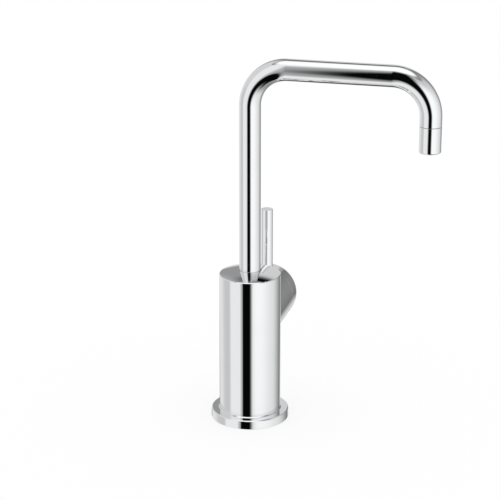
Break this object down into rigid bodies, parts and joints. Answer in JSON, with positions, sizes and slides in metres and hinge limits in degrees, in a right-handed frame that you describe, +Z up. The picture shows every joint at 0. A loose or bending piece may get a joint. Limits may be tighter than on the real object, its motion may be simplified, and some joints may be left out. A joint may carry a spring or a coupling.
{
  "type": "boiling water tap",
  "caption": "Chrome boiling water tap with a square swivelling spout, a round body on a flange and an upright side lever on a ceramic valve.",
  "frame": {"origin": "centre of the base on the worktop, at the mouth of the inlet thread", "axes": "+Z up along the body's axis, +X the way the spout reaches at rest, +Y towards the valve hub and lever"},
  "size_m": [0.1912, 0.0976, 0.3145],
  "materials": {
    "polished_chrome": "polished chrome plate on brass",
    "turned_brass": "turned and drilled brass",
    "stainless_steel": "plain stainless steel",
    "black_rubber": "matt black sealing rubber",
    "white_plastic": "natural white engineering plastic",
    "grey_plastic": "pale grey moulded plastic",
    "ceramic": "lapped white ceramic"
  },
  "bodies": {
    "body": {"base_flange": "polished_chrome", "base_gasket": "black_rubber", "base_screws": "stainless_steel", "body_shell": "polished_chrome", "carrier_seals": "black_rubber", "ceramic_disc_fixed": "ceramic", "disc_seal": "black_rubber", "glide_ring": "white_plastic", "hub_housing": "polished_chrome", "insulation_sleeve": "white_plastic", "swivel_bush": "white_plastic", "valve_body": "turned_brass", "valve_carrier": "turned_brass", "valve_core": "turned_brass"},
    "spout": {"spout_tube": "polished_chrome", "spout_nipple": "turned_brass", "spout_seals": "black_rubber", "spout_snap_ring": "stainless_steel", "liner_tube": "white_plastic", "liner_spacers": "white_plastic", "outlet_ferrule": "turned_brass", "outlet_sleeve": "polished_chrome", "outlet_nozzle": "grey_plastic", "outlet_screen": "stainless_steel", "outlet_seal": "black_rubber"},
    "handle": {"lever_cap": "polished_chrome", "drive_collar": "turned_brass", "drive_screw": "stainless_steel", "cap_grub_screw": "stainless_steel", "rod_stop_pin": "stainless_steel", "valve_spindle": "turned_brass", "spindle_rings": "black_rubber", "spindle_clip": "stainless_steel", "ceramic_disc_moving": "ceramic", "return_spring": "stainless_steel"},
    "lever": {"lever_rod": "polished_chrome"}
  },
  "joints": [
    {"name": "spout_swivel", "type": "hinge", "parent": "body", "child": "spout", "pos_m": [0, 0, 0.2], "axis": [0, 0, 1], "continuous": true},
    {"name": "handle_turn", "type": "hinge", "parent": "body", "child": "handle", "pos_m": [0, 0.0578, 0.0915], "axis": [0, 1, 0], "range_deg": [0, 90]},
    {"name": "lever_push", "type": "slide", "parent": "handle", "child": "lever", "axis": [0, 0, -1], "range_m": [0, 0.004], "stiffness_N_per_m": 1500, "springref_m": -0.003, "deforming": ["return_spring"]}
  ]
}
